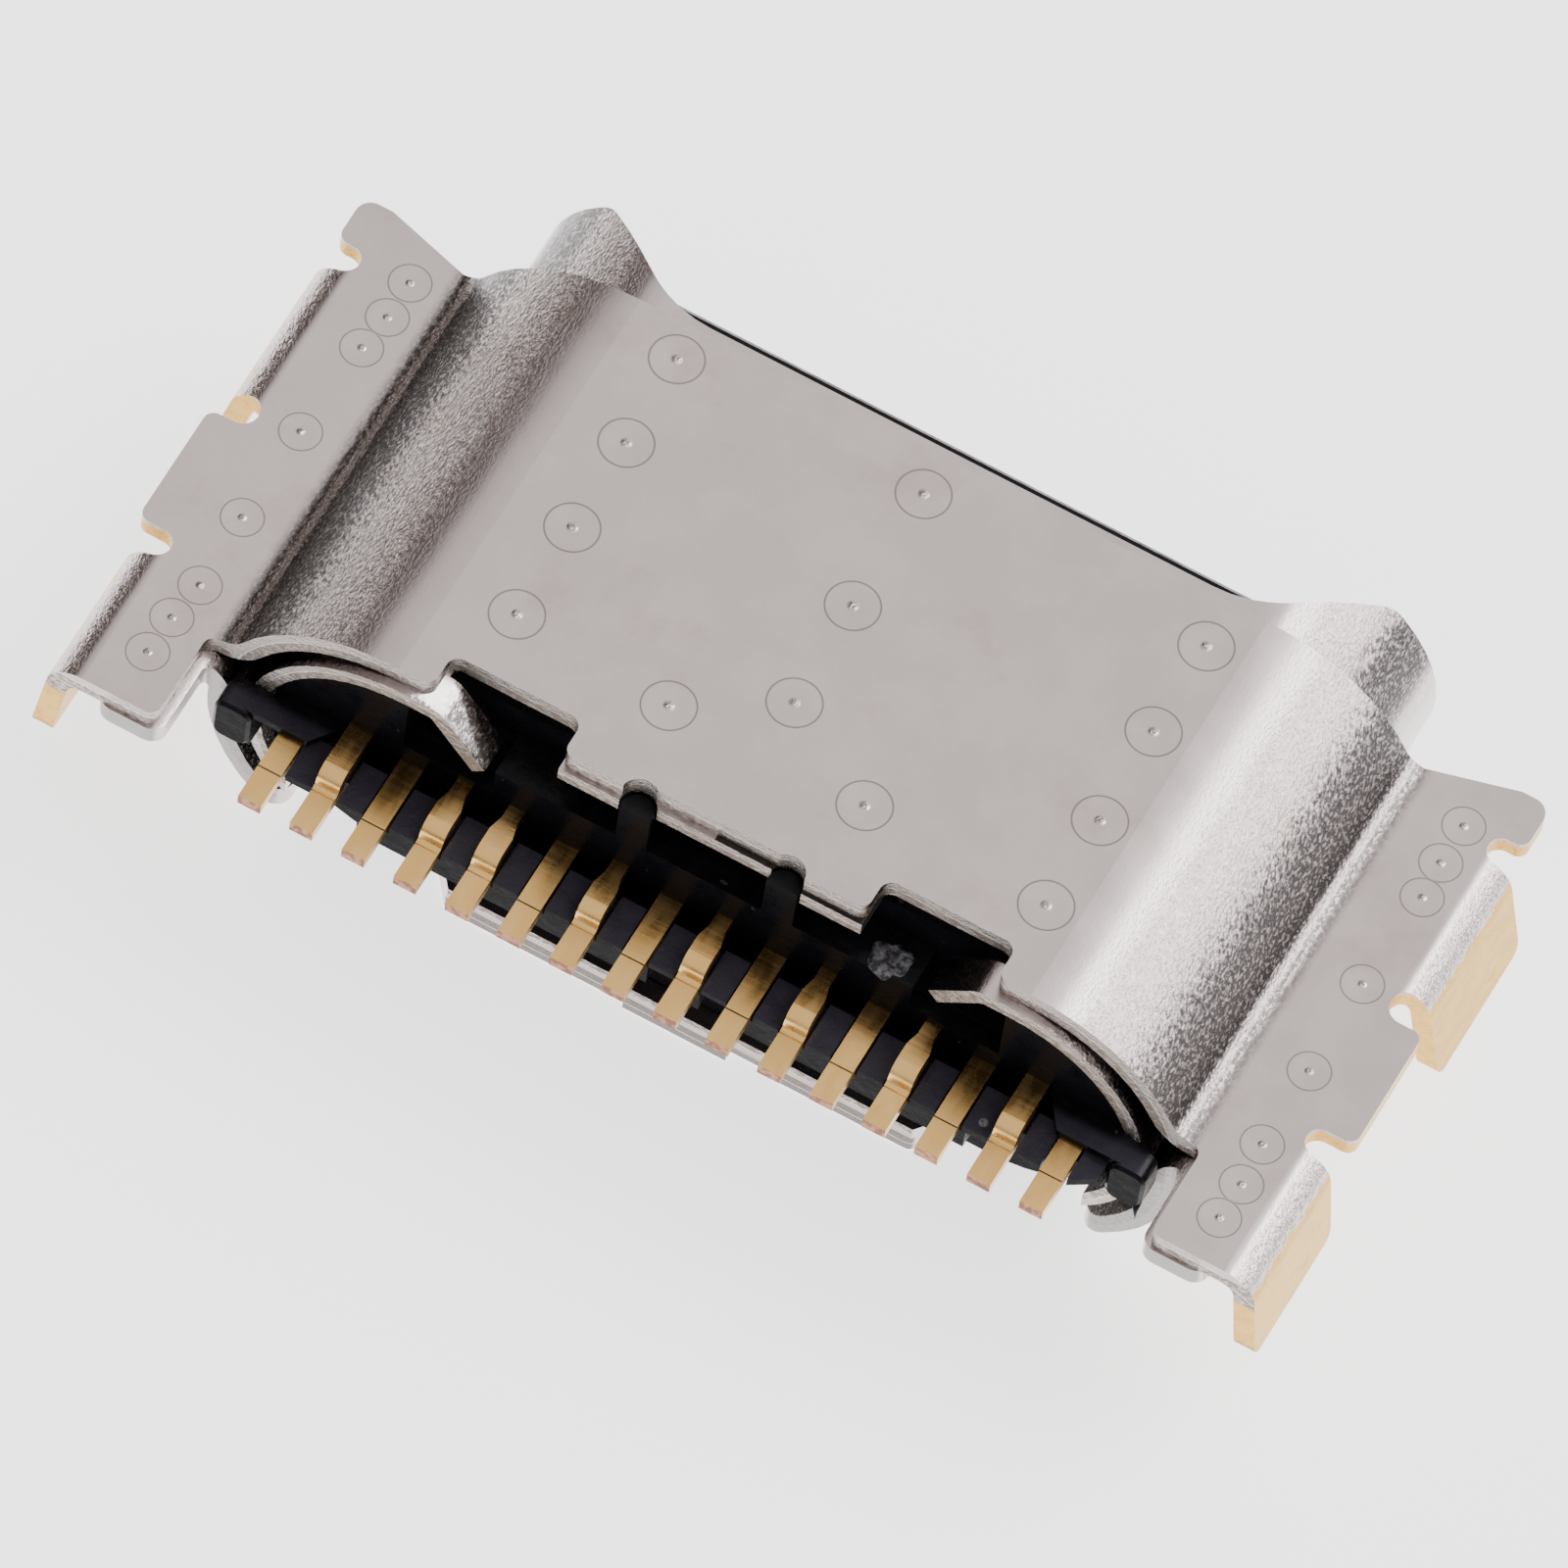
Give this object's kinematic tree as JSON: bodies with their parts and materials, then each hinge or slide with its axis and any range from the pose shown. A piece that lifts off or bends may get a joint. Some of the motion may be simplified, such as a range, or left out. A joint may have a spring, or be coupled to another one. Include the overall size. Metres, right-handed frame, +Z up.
{
  "type": "charging port connector",
  "caption": "Sink-mount charging port connector: an oval metal tube in folded covers with side wings and solder legs, round a contact tongue.",
  "frame": {"origin": "middle of the width and the overall depth, on the underside of the bottom cover", "axes": "+X along the wide way of the mouth, +Y out of the mouth towards the plug, +Z up, away from the board"},
  "size_m": [0.012, 0.0064, 0.0033],
  "materials": {
    "cover_metal": "nickel-plated sheet, softly rippled, satin",
    "shell_metal": "nickel-plated deep-drawn tube, satin",
    "plate_steel": "plain stamped steel",
    "contact_metal": "gold-plated copper alloy, bare copper on the cut ends",
    "black_moulding": "black fibre-filled moulding, half gloss"
  },
  "bodies": {
    "root": {"top_cover": "cover_metal", "bottom_cover": "cover_metal", "inner_shell": "shell_metal", "tongue_housing": "black_moulding", "lower_contact_carrier": "black_moulding", "upper_contact_carrier": "black_moulding", "mid_plate": "plate_steel", "upper_ground_plate": "plate_steel", "lower_ground_plate": "plate_steel", "lower_contact_1": "contact_metal", "lower_contact_2": "contact_metal", "lower_contact_3": "contact_metal", "lower_contact_4": "contact_metal", "lower_contact_5": "contact_metal", "lower_contact_6": "contact_metal", "lower_contact_7": "contact_metal", "lower_contact_8": "contact_metal", "upper_contact_1": "contact_metal", "upper_contact_2": "contact_metal", "upper_contact_3": "contact_metal", "upper_contact_4": "contact_metal", "upper_contact_5": "contact_metal", "upper_contact_6": "contact_metal", "upper_contact_7": "contact_metal", "upper_contact_8": "contact_metal"}
  },
  "joints": []
}
